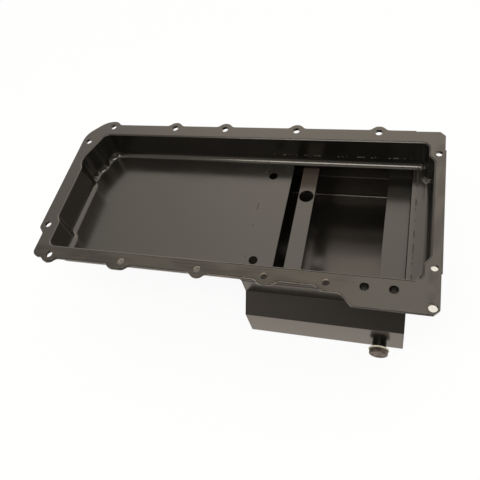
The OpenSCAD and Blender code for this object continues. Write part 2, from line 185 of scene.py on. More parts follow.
def makeFloor(s):
    # shown to the camera as pale, mirrored in the paint at its own level, and plain matte to the lamp
    half, low = s["floorSize"] / 2, cadLow.z
    mesh = bpy.data.meshes.new("studioFloor")
    corners = [(-half, -half, low), (half, -half, low), (half, half, low), (-half, half, low)]
    mesh.from_pydata(corners, [], [(0, 1, 2, 3)])
    floor = bpy.data.objects.new("studioFloor", mesh)
    bpy.context.scene.collection.objects.link(floor)
    mat = bpy.data.materials.new("studioFloor")
    mat.use_nodes = True
    tree = mat.node_tree
    tree.nodes.clear()
    make, link = tree.nodes.new, tree.links.new
    matte = make("ShaderNodeBsdfDiffuse")
    matte.inputs["Color"].default_value = (*s["floorColour"], 1)
    shown = make("ShaderNodeEmission")
    mirrored = make("ShaderNodeEmission")
    mirrored.inputs["Color"].default_value = (*s["floorMirror"], 1)
    seen = make("ShaderNodeLightPath")
    place = make("ShaderNodeTexCoord")
    axes = make("ShaderNodeSeparateXYZ")
    link(place.outputs["Object"], axes.inputs[0])
    # the floor's painted shadow patch, in the colour the camera sees
    tone = make("ShaderNodeMix")
    tone.data_type = "RGBA"
    link(inside(tree, axes, s["floorShadeSides"]), tone.inputs["Factor"])
    tone.inputs["A"].default_value = (1, 1, 1, 1)
    tone.inputs["B"].default_value = (*s["floorShadeColour"], 1)
    link(tone.outputs["Result"], shown.inputs["Color"])
    link(fade(tree, axes.outputs["Y"], *s["floorFade"]), mirrored.inputs["Strength"])
    share = make("ShaderNodeMath")
    share.operation = "MULTIPLY"
    share.inputs[1].default_value = s["floorGlow"]
    link(seen.outputs["Is Camera Ray"], share.inputs[0])
    last = matte
    for how, light in ((share.outputs[0], shown), (seen.outputs["Is Glossy Ray"], mirrored)):
        blend = make("ShaderNodeMixShader")
        link(how, blend.inputs["Fac"])
        link(last.outputs[0], blend.inputs[1])
        link(light.outputs[0], blend.inputs[2])
        last = blend
    out = make("ShaderNodeOutputMaterial")
    link(last.outputs[0], out.inputs["Surface"])
    mesh.materials.append(mat)


makeCamera()
makeLamp(studioSet)
makeSky(studioSet)
makeFloor(studioSet)
print("camera and studio ready")

paintSet = {
    "dark": (0.0085, 0.008, 0.0068),
    "light": (0.0125, 0.0115, 0.0095),
    "tint": (1.0, 0.94, 0.87),
    "ior": 1.75,
    "rough": (0.18, 0.22),
    "cloudScale": 9.0,       # per metre
    "peelScale": 620.0,
    "peelDepth": 0.005,      # mm
    "waveScale": 5.0,
    "waveDepth": 0.20,       # mm
}

trayMarks = {
    # weld lumps at the wall's corners: x, y, z, radius in mm
    "puckers": [(-291, 92, -41, 8), (-302, 70, -42, 9), (172, 94, -41, 9), (177, 79, -42, 8), (181, 66, -42, 6)],
    "puckerScale": 95,
    "puckerDepth": 0.9,
    # light spots painted on the corner welds: painted highlights on weld spatter
    "glintSpatter": [(-292, 92, -40, 4), (-302.5, 69.7, -42, 3.5), (-307.4, 64.4, -42, 3), (-309, 47, -42, 3),
                (173, 92, -41, 4), (179, 70, -42, 4)],
    # specks are noise scale, noise detail, low, high
    "glintSpatterSpecks": (520, 1, 0.50, 0.58),
    "glintSpatterTone": (0.26, 0.25, 0.24),
    # burnt paint over the hidden beads, as (centre, half width, softness) in mm
    "floorLine": (-42.0, 0.5, 1.0),
    "floorSpecks": (90, 1, 0.56, 0.62),
    "ledgeLine": (163.6, 0.6, 0.8),
    "ledgeSpecks": (75, 2, 0.50, 0.56),
    "floorOnly": (-43.2, -42.6),
    "burntTone": (0.004, 0.0035, 0.003),
    "burntRough": 0.4,
    # painted glints on small lumps on the far wall, where the side bead shows through
    "wallLine": (-32.0, 0.5, 1.2),
    "wallSides": [("Y", 0.094, 0.096), ("Y", 0.0980, 0.0986, 1, 0), ("X", -0.040, -0.030), ("X", 0.150, 0.156, 1, 0)],
    "glintSpecks": (160, 2, 0.52, 0.60),
    "glintTone": (0.16, 0.15, 0.14),
    "glintDepth": 0.3,
    # the rear of the tray and the near wall above the sump mirror less
    "rearLevel": (0.158, 0.166, 0.5, 0.42),
    "shadedSides": [("Y", -0.1020, -0.1014, 1, 0), ("X", -0.08, -0.03)],
    "shadedLevel": 0.06,
}

railMarks = {
    "drawnStretch": (9, 420, 420),     # faint drawing lines along the plate
    "drawnDepth": 0.012,               # mm
    "nearSides": [("Y", -0.104, -0.098, 1, 0), ("X", 0.06, 0.13, 1, 0)],   # the duller driver side
    "patchStretch": (14, 40, 40),
    "patchRange": (0.38, 0.62, 1.0, 0.35),
    "lineRange": (0.35, 0.62, 1.0, 0.55),
    "rearFrom": (0.176, 0.184),
    "blotStretch": (60, 34, 60),
    "blotRange": (0.42, 0.66, 0.5, 0.0),   # dulling of the rear bar between its brighter blots
    "level": (0.5, 0.30),                  # specular level, plain and at the dullest drawing lines
    # the driver side's cut edge: painted shade as a dark line at the top, with a painted highlight line below it
    "edgeSides": [("Y", -0.1172, -0.1168, 1, 0), ("X", -0.12, -0.06, 0.15, 1), ("X", 0.085, 0.10, 1, 0.15)],
    "edgeShade": (-0.60, 0.44, 0.08),           # centre, half height and softness in mm
    "edgeShadeTone": (0.003, 0.0025, 0.002),
    "edgeShadeLevel": 0.04,
    "edgeGlint": (-1.80, 0.50, 0.20),
    "edgeGlintSpecks": (60, 2, 0.35, 0.55, 0.45, 1),
    # painted light on the far walls of the driver side's holes, in a bare metal tone
    "boreSides": [("Y", -0.1168, -0.1162), ("Y", -0.1086, -0.1080, 1, 0), ("X", -0.21, -0.20),
                  ("X", 0.088, 0.092, 1, 0), ("Z", -0.0008, -0.0004, 1, 0)],
    "edgeAndBoreLightTone": (0.36, 0.31, 0.25),
    "edgeAndBoreLightRough": 0.3,
    "tint": (1.0, 0.93, 0.85),
    "nearTint": (1.0, 0.91, 0.79),
}

sheetMarks = {
    "wrapTint": (1.0, 0.905, 0.82),
    "plateInside": (-0.0374, -0.0371),     # the front plate's inner face mirrors less, as painted shade inside the sump
    "plateLevel": (0.5, 0.06),
    "stripEnd": (0.044, 0.058),            # the strip's far end is painted lighter, as a painted reflection
    "stripReflectionTone": (0.050, 0.040, 0.032),
    "shelfJoint": (0.1560, 0.1567),        # painted shade: a dark line where the shelf meets the rear plate, made by mirroring less
    "shelfLevel": (0.46, 0.08),
}


class Shader:
    def __init__(self, name):
        self.mat = bpy.data.materials.new(name)
        self.mat.use_nodes = True
        self.tree = self.mat.node_tree
        self.tree.nodes.clear()
        self.coords = self.tree.nodes.new("ShaderNodeTexCoord").outputs["Object"]
        self.axes = self.tree.nodes.new("ShaderNodeSeparateXYZ")
        self.tree.links.new(self.coords, self.axes.inputs[0])
        self.skin = self.tree.nodes.new("ShaderNodeBsdfPrincipled")
        out = self.tree.nodes.new("ShaderNodeOutputMaterial")
        self.tree.links.new(self.skin.outputs[0], out.inputs["Surface"])

    def feed(self, socket, value):
        if isinstance(value, bpy.types.NodeSocket):
            self.tree.links.new(value, socket)
        else:
            socket.default_value = value

    def noise(self, scale, detail=2.0, stretch=None):
        place = self.coords
        if stretch:
            turn = self.tree.nodes.new("ShaderNodeMapping")
            self.tree.links.new(self.coords, turn.inputs["Vector"])
            turn.inputs["Scale"].default_value = stretch
            place = turn.outputs[0]
        n = self.tree.nodes.new("ShaderNodeTexNoise")
        self.tree.links.new(place, n.inputs["Vector"])
        n.inputs["Scale"].default_value = scale
        n.inputs["Detail"].default_value = detail
        return n.outputs["Fac"]

    def math(self, how, a, b=0.0):
        n = self.tree.nodes.new("ShaderNodeMath")
        n.operation = how
        self.feed(n.inputs[0], a)
        self.feed(n.inputs[1], b)
        return n.outputs[0]

    def span(self, value, low, high, toLow=0.0, toHigh=1.0):
        return fade(self.tree, value, low, high, toLow, toHigh)

    def specks(self, scale, detail, *limits):
        return self.span(self.noise(scale, detail), *limits)

    def inside(self, sides):
        return inside(self.tree, self.axes, sides)

    def mix(self, share, a, b):
        n = self.tree.nodes.new("ShaderNodeMix")
        n.data_type = "RGBA"
        self.feed(n.inputs["Factor"], share)
        for key, v in (("A", a), ("B", b)):
            self.feed(n.inputs[key], v if isinstance(v, bpy.types.NodeSocket) else (*v, 1))
        return n.outputs["Result"]

    def axis(self, which):
        return self.axes.outputs[which]

    def band(self, which, centre, half, soft):
        # 1 within half of centre along one axis, fading to 0 over soft; all in mm
        away = self.math("ABSOLUTE", self.math("SUBTRACT", self.axis(which), centre * mm))
        return self.span(away, half * mm, (half + soft) * mm, 1.0, 0.0)

    def near(self, place, radius):
        # 1 at a place, fading to 0 at radius; in mm
        n = self.tree.nodes.new("ShaderNodeVectorMath")
        n.operation = "DISTANCE"
        self.tree.links.new(self.coords, n.inputs[0])
        n.inputs[1].default_value = Vector(place) * mm
        return self.span(n.outputs["Value"], 0.25 * radius * mm, radius * mm, 1.0, 0.0)

    def nearest(self, spots):
        share = None
        for x, y, z, radius in spots:
            spot = self.near((x, y, z), radius)
            share = spot if share is None else self.math("MAXIMUM", share, spot)
        return share

    def bump(self, height, depth, under=None):
        n = self.tree.nodes.new("ShaderNodeBump")
        n.inputs["Distance"].default_value = depth * mm
        self.feed(n.inputs["Height"], height)
        if under is not None:
            self.tree.links.new(under, n.inputs["Normal"])
        return n.outputs["Normal"]


def paintBase(name, s):
    sh = Shader(name)
    sh.skin.inputs["IOR"].default_value = s["ior"]
    sh.skin.inputs["Specular Tint"].default_value = (*s["tint"], 1)
    sh.colour = sh.mix(sh.noise(s["cloudScale"], 4), s["dark"], s["light"])
    sh.rough = sh.span(sh.noise(s["cloudScale"] * 2, 2), 0.3, 0.7, *s["rough"])
    sh.relief = sh.bump(sh.noise(s["waveScale"], 0), s["waveDepth"])
    sh.relief = sh.bump(sh.noise(s["peelScale"], 2), s["peelDepth"], sh.relief)
    return sh


def finishPaint(sh):
    sh.feed(sh.skin.inputs["Base Color"], sh.colour)
    sh.feed(sh.skin.inputs["Roughness"], sh.rough)
    sh.feed(sh.skin.inputs["Normal"], sh.relief)
    return sh.mat


def sheetPaint():
    return finishPaint(paintBase("sheetPaint", paintSet))


def wrapPaint():
    return finishPaint(paintBase("wrapPaint", dict(paintSet, tint=sheetMarks["wrapTint"])))


def frontPaint():
    sh, m = paintBase("frontPaint", paintSet), sheetMarks
    # painted shade: the inner face of the front plate mirrors less
    sh.feed(sh.skin.inputs["Specular IOR Level"], sh.span(sh.axis("X"), *m["plateInside"], *m["plateLevel"]))
    return finishPaint(sh)


def stripPaint():
    sh, m = paintBase("stripPaint", paintSet), sheetMarks
    # painted reflection: the strip's far end is lighter
    sh.colour = sh.mix(sh.span(sh.axis("Y"), *m["stripEnd"]), sh.colour, m["stripReflectionTone"])
    return finishPaint(sh)


def shelfPaint():
    sh, m = paintBase("shelfPaint", paintSet), sheetMarks
    # painted shade: the shelf mirrors less along its joint with the rear plate
    sh.feed(sh.skin.inputs["Specular IOR Level"], sh.span(sh.axis("X"), *m["shelfJoint"], *m["shelfLevel"]))
    return finishPaint(sh)


def railPaint():
    sh, m = paintBase("railPaint", dict(paintSet, waveDepth=0.05)), railMarks
    near = sh.inside(m["nearSides"])
    drawn = sh.noise(1.0, 3, stretch=m["drawnStretch"])
    sh.relief = sh.bump(drawn, m["drawnDepth"], sh.relief)
    patches = sh.span(sh.noise(1.0, 2, stretch=m["patchStretch"]), *m["patchRange"])
    lines = sh.span(drawn, *m["lineRange"])
    dull = sh.math("MULTIPLY", near, sh.math("MULTIPLY", patches, lines))
    blots = sh.span(sh.noise(1.0, 2, stretch=m["blotStretch"]), *m["blotRange"])
    rear = sh.math("MULTIPLY", sh.span(sh.axis("X"), *m["rearFrom"]), blots)
    level = sh.span(sh.math("MAXIMUM", dull, rear), 0, 1, *m["level"])
    edge = sh.inside(m["edgeSides"])
    # painted shade: a dark line along the top of the driver side's cut edge
    edgeShade = sh.math("MULTIPLY", edge, sh.band("Z", *m["edgeShade"]))
    level = sh.math("MULTIPLY", level, sh.span(edgeShade, 0, 1, 1, m["edgeShadeLevel"]))
    # painted highlight: a light line just below it
    edgeGlint = sh.math("MULTIPLY", edge, sh.band("Z", *m["edgeGlint"]))
    edgeGlint = sh.math("MULTIPLY", edgeGlint, sh.specks(*m["edgeGlintSpecks"]))
    # painted light: the edge's highlight line and the lit hole walls share a bare metal tone
    edgeAndBoreLight = sh.math("MAXIMUM", edgeGlint, sh.inside(m["boreSides"]))
    sh.colour = sh.mix(edgeShade, sh.colour, m["edgeShadeTone"])
    sh.colour = sh.mix(edgeAndBoreLight, sh.colour, m["edgeAndBoreLightTone"])
    sh.rough = sh.math("ADD", sh.rough, sh.math("MULTIPLY", edgeAndBoreLight, m["edgeAndBoreLightRough"]))
    sh.feed(sh.skin.inputs["Specular IOR Level"], level)
    sh.feed(sh.skin.inputs["Specular Tint"], sh.mix(near, m["tint"], m["nearTint"]))
    return finishPaint(sh)


def trayPaint():
    sh, m = paintBase("trayPaint", paintSet), trayMarks
    hammered = sh.math("MULTIPLY", sh.nearest(m["puckers"]), sh.noise(m["puckerScale"], 1))
    sh.relief = sh.bump(hammered, m["puckerDepth"], sh.relief)
    # painted highlights: light specks on the weld spatter at the corners
    paintedSpatterGlints = sh.math("MULTIPLY", sh.nearest(m["glintSpatter"]), sh.specks(*m["glintSpatterSpecks"]))
    sh.colour = sh.mix(paintedSpatterGlints, sh.colour, m["glintSpatterTone"])
    # dots along the floor, dashes along the rear ledge
    low, high = m["floorOnly"]
    floor = sh.span(sh.axis("Z"), low * mm, high * mm, 1.0, 0.0)
    dots = sh.math("MULTIPLY", sh.band("X", *m["floorLine"]), sh.specks(*m["floorSpecks"]))
    dashes = sh.math("MULTIPLY", sh.band("X", *m["ledgeLine"]), sh.specks(*m["ledgeSpecks"]))
    burnt = sh.math("MULTIPLY", floor, sh.math("MAXIMUM", dots, dashes))
    sh.colour = sh.mix(burnt, sh.colour, m["burntTone"])
    sh.rough = sh.math("ADD", sh.rough, sh.math("MULTIPLY", burnt, m["burntRough"]))
    shaded = sh.span(sh.inside(m["shadedSides"]), 0, 1, 1, m["shadedLevel"])
    level = sh.math("MULTIPLY", sh.span(sh.axis("X"), *m["rearLevel"]), shaded)
    sh.feed(sh.skin.inputs["Specular IOR Level"], level)
    wall = sh.math("MULTIPLY", sh.band("Z", *m["wallLine"]), sh.inside(m["wallSides"]))
    glints = sh.math("MULTIPLY", wall, sh.specks(*m["glintSpecks"]))
    sh.colour = sh.mix(glints, sh.colour, m["glintTone"])
    sh.relief = sh.bump(glints, m["glintDepth"], sh.relief)
    return finishPaint(sh)


weldLook = {
    "rough": (0.24, 0.34),
    "level": 0.42,
    "grainScale": 900,
    "grainDepth": 0.03,        # mm
}


def weldPaint():
    m = weldLook
    sh = paintBase("weldPaint", dict(paintSet, rough=m["rough"], waveDepth=0.0))
    sh.skin.inputs["Specular IOR Level"].default_value = m["level"]
    sh.relief = sh.bump(sh.noise(m["grainScale"], 3), m["grainDepth"], sh.relief)
    return finishPaint(sh)


plugLook = {
    "stain": (160, 4, 0.35, 0.65),
    "tones": ((0.085, 0.072, 0.062), (0.165, 0.14, 0.122)),
    "rough": (240, 3, 0.3, 0.7, 0.42, 0.60),
    "grainScale": 1100,
    "grainDepth": 0.02,
}


def plugSteel():
    sh, m = Shader("plugSteel"), plugLook
    sh.skin.inputs["Metallic"].default_value = 1.0
    sh.colour = sh.mix(sh.specks(*m["stain"]), *m["tones"])
    sh.rough = sh.specks(*m["rough"])
    sh.relief = sh.bump(sh.noise(m["grainScale"], 3), m["grainDepth"])
    return finishPaint(sh)


# painted shade: the pan's paint, darker and duller, for the bung and its weld
bungShadeLook = {
    "dark": (0.004, 0.005, 0.0035),
    "light": (0.007, 0.008, 0.006),
    "level": 0.13,
}


def bungShadedPaint():
    m = bungShadeLook
    sh = paintBase("bungShadedPaint", dict(paintSet, dark=m["dark"], light=m["light"], waveDepth=0.0))
    sh.skin.inputs["Specular IOR Level"].default_value = m["level"]
    return finishPaint(sh)


washerLook = {
    "cloudScale": 300,
    "tones": ((0.62, 0.56, 0.45), (0.80, 0.75, 0.63)),
    "rough": (500, 2, 0.3, 0.7, 0.55, 0.75),
    "grainScale": 1500,
    "grainDepth": 0.04,
}


def washerFibre():
    sh, m = Shader("washerFibre"), washerLook
    sh.colour = sh.mix(sh.noise(m["cloudScale"], 4), *m["tones"])
    sh.rough = sh.specks(*m["rough"])
    sh.relief = sh.bump(sh.noise(m["grainScale"], 3), m["grainDepth"])
    return finishPaint(sh)


finishes = {
    "sheet": (sheetPaint(), "pan_paint"),
    "wrap": (wrapPaint(), "pan_paint"),
    "front": (frontPaint(), "pan_paint"),
    "strip": (stripPaint(), "pan_paint"),
    "shelf": (shelfPaint(), "pan_paint"),
    "rail": (railPaint(), "pan_paint"),
    "tray": (trayPaint(), "pan_paint"),
    "weld": (weldPaint(), "weld_paint"),
    "plug": (plugSteel(), "plug_steel"),
    "washer": (washerFibre(), "washer_fibre"),
    "bung": (bungShadedPaint(), "pan_paint"),
}
print("finishes ready")


# from here on a path is a list of (x, y, corner radius) in mm, anticlockwise
def unit(v):
    n = math.hypot(*v)
    return (v[0] / n, v[1] / n)


def wayIn(path, i):
    a, b = path[i - 1], path[i]
    return unit((b[0] - a[0], b[1] - a[1]))


def wayOut(path, i):
    a, b = path[i], path[(i + 1) % len(path)]
    return unit((b[0] - a[0], b[1] - a[1]))


def turnAt(path, i):
    a, b = wayIn(path, i), wayOut(path, i)
    return math.atan2(a[0] * b[1] - a[1] * b[0], a[0] * b[0] + a[1] * b[1])


def insetPath(path, d):
    # the path moved inwards by d; outer corners get tighter and inner ones wider
    out = []
    for i, (x, y, r) in enumerate(path):
        a, b = wayIn(path, i), wayOut(path, i)
        m, n = (-a[1], a[0]), (-b[1], b[0])
        k = d / (1 + m[0] * n[0] + m[1] * n[1])
        side = 1 if turnAt(path, i) > 0 else -1
        out.append((x + k * (m[0] + n[0]), y + k * (m[1] + n[1]), max(0.05, r - side * d) if r > 0 else 0))
    return out


def roundPath(path, step):
    # the path as points, with an arc point at least every step degrees
    out = []
    for i, (x, y, r) in enumerate(path):
        if r <= 0:
            out.append((x, y))
            continue
        a, turn = wayIn(path, i), turnAt(path, i)
        side = 1 if turn > 0 else -1
        back = r * math.tan(abs(turn) / 2)
        sx, sy = x - a[0] * back, y - a[1] * back
        cx, cy = sx - side * r * a[1], sy + side * r * a[0]
        n = max(2, math.ceil(math.degrees(abs(turn)) / step))
        for k in range(n + 1):
            t = turn * k / n
            dx, dy = sx - cx, sy - cy
            out.append((cx + dx * math.cos(t) - dy * math.sin(t), cy + dx * math.sin(t) + dy * math.cos(t)))
    return out


meshSet = {
    "holePoints": 40,
    "ringPoints": 48,
    "smoothAngle": 42,         # degrees; a sharper fold keeps a hard edge
    "bevelAngle": 35,
    "bevelSegments": 3,
    "normalWeight": 90,
    "mergeWithin": 0.00001,    # metres
    "cadMergeWithin": 0.000005,
    "flatWithin": 1,           # degrees
}


def circle(x, y, r, n):
    return [(x + r * math.cos(2 * math.pi * k / n), y + r * math.sin(2 * math.pi * k / n)) for k in range(n)]


def solidMesh(name, verts, faces):
    # points in mm; the faces are turned outwards
    mesh = bpy.data.meshes.new(name)
    mesh.from_pydata([Vector(v) * mm for v in verts], [], faces)
    bm = bmesh.new()
    bm.from_mesh(mesh)
    bmesh.ops.recalc_face_normals(bm, faces=bm.faces)
    bm.to_mesh(mesh)
    bm.free()
    return mesh


def dressPiece(name, mesh, finish, nodes, modifiers=(), weld=True):
    # a finished piece that rides on the pan and stands for its CAD nodes
    bm = bmesh.new()
    bm.from_mesh(mesh)
    if weld:
        bmesh.ops.remove_doubles(bm, verts=bm.verts, dist=meshSet["mergeWithin"])
        bmesh.ops.recalc_face_normals(bm, faces=bm.faces)
    bm.to_mesh(mesh)
    bm.free()
    obj = bpy.data.objects.new(name, mesh)
    bpy.context.scene.collection.objects.link(obj)
    for kind, values in modifiers:
        mod = obj.modifiers.new(kind.lower(), kind)
        for key, value in values.items():
            setattr(mod, key, value)
    if modifiers:
        obj = settle(obj)
    shade(obj)
    mat, slotName = finishes[finish]
    obj.data.materials.clear()
    obj.data.materials.append(mat)
    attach(obj, "root")
    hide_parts(*nodes)
    return obj


def settle(obj):
    # the evaluated shape becomes a plain mesh
    graph = bpy.context.evaluated_depsgraph_get()
    graph.update()
    mesh = bpy.data.meshes.new_from_object(obj.evaluated_get(graph))
    obj.modifiers.clear()
    obj.data = mesh
    return obj


def shade(obj):
    for p in obj.data.polygons:
        p.use_smooth = True
    obj.data.set_sharp_from_angle(angle=math.radians(meshSet["smoothAngle"]))
    mod = obj.modifiers.new("flatNormals", "WEIGHTED_NORMAL")
    mod.keep_sharp = True
    mod.weight = meshSet["normalWeight"]
    settle(obj)


def roundEdges(width):
    return ("BEVEL", {"width": width * mm, "segments": meshSet["bevelSegments"], "limit_method": "ANGLE",
                      "angle_limit": math.radians(meshSet["bevelAngle"]), "use_clamp_overlap": True})


def cadCopy(name, node, finish, width):
    # the CAD node's own shape with rounded edges
    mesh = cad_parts[node].data.copy()
    bm = bmesh.new()
    bm.from_mesh(mesh)
    bmesh.ops.remove_doubles(bm, verts=bm.verts, dist=meshSet["cadMergeWithin"])
    flat = math.radians(meshSet["flatWithin"])
    bmesh.ops.dissolve_limit(bm, angle_limit=flat, verts=bm.verts, edges=bm.edges)
    bm.to_mesh(mesh)
    bm.free()
    return dressPiece(name, mesh, finish, [node], [roundEdges(width)], weld=False)


def ringFaces(rings, n):
    # quads between rings of n points each
    return [(j * n + i, j * n + (i + 1) % n, (j + 1) * n + (i + 1) % n, (j + 1) * n + i)
            for j in range(rings - 1) for i in range(n)]


def endFaces(rings, n):
    return [tuple(range(n)), tuple(range((rings - 1) * n, rings * n))]


railSet = {
    "thick": 4.8,
    "edge": 0.7,               # rounded edge of the cut plate
    "innerEdge": 0.35,         # how much of that the inner edge gets
    "edgeAngles": (0, 0.4, 0.8, 1.2, math.pi / 2),
    "side": 118.5,
    "lobeOut": 6.5,
    "lobeTip": 11.0,
    "lobeHalf": 4.669,
    "lobeFoot": 10.946,
    "footR": 8,
    "outlineStep": 6.0,
    "nearLobes": [(-291.5, 0, 0), (-185.5, 10, 0), (-83, 0, 0), (0, 0, 6)],    # x, longer ahead, longer behind
    "farLobes": [(110.5, 0, 0), (0, 0, 0), (-104, 0, 0), (-181.5, 0, 0)],
    "padLobe": 72,
    "cornerLobe": -284,
    "ear": [(-316.5, -118.5, 9)],
    "pad": [(88.5, -125, 8), (103, -139.5, 2), (187.3, -139.5, 1), (193.8, -133, 1), (193.8, -88.5, 0)],
    "rear": [(195, -88.5, 0), (195, 86.5, 0), (193.8, 86.5, 0), (193.8, 110.8, 1), (187.3, 117.3, 1),
             (157.5, 117.3, 0), (157.5, 118.5, 0)],
    "front": [(-297, 125, 30), (-325, 97, 30), (-325, -74.5, 5), (-316.5, -83, 5)],
    "holes": [(-284, 114, 4.5), (-181.5, 114, 4.5), (-104, 114, 4.5), (0, 114, 4.5), (110.5, 114, 4.5),
              (-291.5, -114, 4.5), (-185.5, -114, 4.5), (-83, -114, 4.5), (0, -114, 4.5), (72, -114, 4.5),
              (-314.5, 83.5, 4.5), (-314.5, -68.5, 4.5), (186.5, 80.5, 4.0), (186.5, -83.5, 4.0),
              (186.5, -131.5, 4.9), (114.5, -115, 5.0), (146, -115, 5.0)],
}


def lobe(x, side, ahead, behind):
    # the corners of one bolt lobe, side -1 near or 1 far
    s = railSet
    half, foot, tip, footR = s["lobeHalf"], s["lobeFoot"], s["lobeTip"], s["footR"]
    low, high = side * s["side"], side * (s["side"] + s["lobeOut"])
    p = [(x - ahead - foot, low, footR), (x - ahead - half, high, tip), (x + behind + half, high, tip),
         (x + behind + foot, low, footR)]
    return p if side < 0 else p[::-1]


def railOutline():
    s = railSet
    half, foot, tip, footR = s["lobeHalf"], s["lobeFoot"], s["lobeTip"], s["footR"]
    low, high = s["side"], s["side"] + s["lobeOut"]
    near = [p for x, ahead, behind in s["nearLobes"] for p in lobe(x, -1, ahead, behind)]
    near += [(s["padLobe"] - foot, -low, footR), (s["padLobe"] - half, -high, tip)]
    far = [p for x, ahead, behind in s["farLobes"] for p in lobe(x, 1, ahead, behind)]
    far += [(s["cornerLobe"] + foot, low, footR), (s["cornerLobe"] + half, high, tip)]
    return s["ear"] + near + s["pad"] + s["rear"] + far + s["front"]


def makeRail():
    s = railSet
    e, t = s["edge"], s["thick"]
    outline, contour = railOutline(), traySet["contour"]
    # outside, opening and holes, each as its points when its edge is rounded by d
    loops = [lambda d: roundPath(insetPath(outline, d), s["outlineStep"]),
             lambda d: roundPath(insetPath(contour, -traySet["sheet"] - s["innerEdge"] * d), s["outlineStep"])]
    loops += [lambda d, h=h: circle(h[0], h[1], h[2] + d, meshSet["holePoints"]) for h in s["holes"]]
    levels = [(e * (1 - math.sin(a)), -e * (1 - math.cos(a))) for a in s["edgeAngles"]]
    levels += [(d, -t - z) for d, z in reversed(levels)]
    bm = bmesh.new()
    tops, bottoms = [], []
    for loop in loops:
        rings = []
        for d, z in levels:
            rings.append([bm.verts.new((x * mm, y * mm, z * mm)) for x, y in loop(d)])
        n = len(rings[0])
        for a, b in zip(rings, rings[1:]):
            for i in range(n):
                bm.faces.new((a[i], a[(i + 1) % n], b[(i + 1) % n], b[i]))
        tops.append(rings[0])
        bottoms.append(rings[-1])
    for group, up in ((tops, 1), (bottoms, -1)):
        edges = []
        for ring in group:
            for i, v in enumerate(ring):
                edges.append(bm.edges.get((v, ring[(i + 1) % len(ring)])))
        bmesh.ops.triangle_fill(bm, use_beauty=True, use_dissolve=False, edges=edges, normal=(0, 0, up))
    bmesh.ops.recalc_face_normals(bm, faces=bm.faces)
    mesh = bpy.data.meshes.new("panRail")
    bm.to_mesh(mesh)
    bm.free()
    return dressPiece("panRail", mesh, "rail", ["pan_rail"], weld=False)


traySet = {
    # inside of the wall; it steps round the bolts
    "contour": [(-299, -100.5, 9), (174.5, -100.5, 9), (174.5, -79.5, 7), (181.5, -70, 9), (181.5, 68.5, 9),
                (174.5, 76, 7), (174.5, 97.5, 9), (-291, 97.5, 12), (-309.5, 52, 15), (-309.5, 42, 13),
                (-304.8, 32.5, 13), (-304.8, -54.5, 11), (-299, -61.5, 11)],
    "sheet": 2.0,
    "deep": 44.0,
    "bend": 8.0,
    "lip": 0.2,                # rounded outer top edge of the wall
    # ground slope along the inner top edge: inset and height, in mm
    "rim": [(-1.9, 0), (-1.75, -0.03), (-0.35, -0.75), (-0.12, -0.95), (0, -1.3)],
    "arcSteps": 12,
    "cornerStep": 5,           # degrees
    "step": 3.0,               # longest stretch between points along the wall
    # weld lumps pushed into the wall's foot: x, y, z, radius, height in mm
    "lumps": [(-292, 92, -40, 10, 2.0), (-303, 69, -40, 14, 3.2), (-309, 50, -40, 11, 2.6), (176, 84, -41, 10, 2.6),
              (181, 70, -41, 7, -1.4), (176, 96, -40, 9, 2.2), (179, -73, -41, 8, 1.4)],
    "lumpsBelow": -20,
    "lumpWay": (0.8, 0.5, 0.45),
    "mouth": (-3.5, 157.5, -92.5, 89.5),
    "mouthCut": (-52, -39),
    "drainBacks": [(-30.5, 67.5), (-30.5, -70.5)],
    "drainBackR": 6.0,
}


def boxCutter(x0, x1, y0, y1, z0, z1):
    bm = bmesh.new()
    bmesh.ops.create_cube(bm, size=1)
    for v in bm.verts:
        v.co = Vector(((x0 + x1) / 2 + v.co.x * (x1 - x0), (y0 + y1) / 2 + v.co.y * (y1 - y0),
                       (z0 + z1) / 2 + v.co.z * (z1 - z0))) * mm
    return linkCutter(bm)


def rodCutter(place, r, axis, long):
    bm = bmesh.new()
    bmesh.ops.create_cone(bm, cap_ends=True, segments=meshSet["ringPoints"], radius1=r * mm, radius2=r * mm,
                          depth=long * mm)
    turn = Vector((0, 0, 1)).rotation_difference(Vector(axis)).to_matrix().to_4x4()
    bm.transform(Matrix.Translation(Vector(place) * mm) @ turn)
    return linkCutter(bm)


def linkCutter(bm):
    mesh = bpy.data.meshes.new("cutter")
    bm.to_mesh(mesh)
    bm.free()
    obj = bpy.data.objects.new("cutter", mesh)
    bpy.context.scene.collection.objects.link(obj)
    return obj


def cut(mesh, cutters):
    obj = bpy.data.objects.new("toCut", mesh)
    bpy.context.scene.collection.objects.link(obj)
    for c in cutters:
        mod = obj.modifiers.new("cut", "BOOLEAN")
        mod.operation = "DIFFERENCE"
        mod.solver = "EXACT"
        mod.object = c
    settle(obj)
    out = obj.data
    for o in [obj, *cutters]:
        bpy.data.objects.remove(o)
    return out


def pushLumps(v):
    # heat and hammer marks: the wall's foot moves towards the middle of the tray
    x, y, z = v
    if z > traySet["lumpsBelow"]:
        return v
    wayX, wayY, wayZ = traySet["lumpWay"]
    for cx, cy, cz, r, high in traySet["lumps"]:
        d = math.dist((x, y, z), (cx, cy, cz)) / r
        if d < 1:
            soft = high * (1 - d * d) ** 2
            inX, inY = (-wayX if cx > 0 else wayX), (-wayY if cy > 0 else wayY)
            x, y, z = x + soft * inX, y + soft * inY, z + abs(soft) * wayZ
    return (x, y, z)


